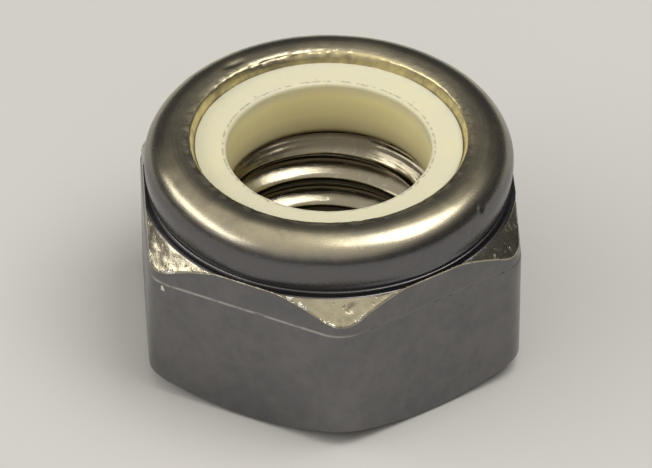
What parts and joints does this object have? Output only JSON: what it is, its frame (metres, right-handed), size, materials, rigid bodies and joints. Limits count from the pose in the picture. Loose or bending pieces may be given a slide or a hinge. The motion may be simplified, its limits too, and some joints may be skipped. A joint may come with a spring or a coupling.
{
  "type": "nylon insert lock nut",
  "caption": "Hexagonal lock nut with a rolled collar that grips a nylon ring, which holds the bolt's thread tight.",
  "frame": {"origin": "centre of the flat bearing face, on the thread's axis", "axes": "+Z along the thread's axis from the bearing face towards the insert; the hexagon has corners on +X and -X and flats that face +Y and -Y"},
  "size_m": [0.0146, 0.013, 0.008],
  "materials": {
    "stainless_steel": "satin, with fine turning marks on the collar and lightly pitted corner facets",
    "nylon": "ivory, smooth and slightly waxy"
  },
  "bodies": {
    "root": {"nut_body": "stainless_steel", "nylon_insert": "nylon"}
  },
  "joints": []
}
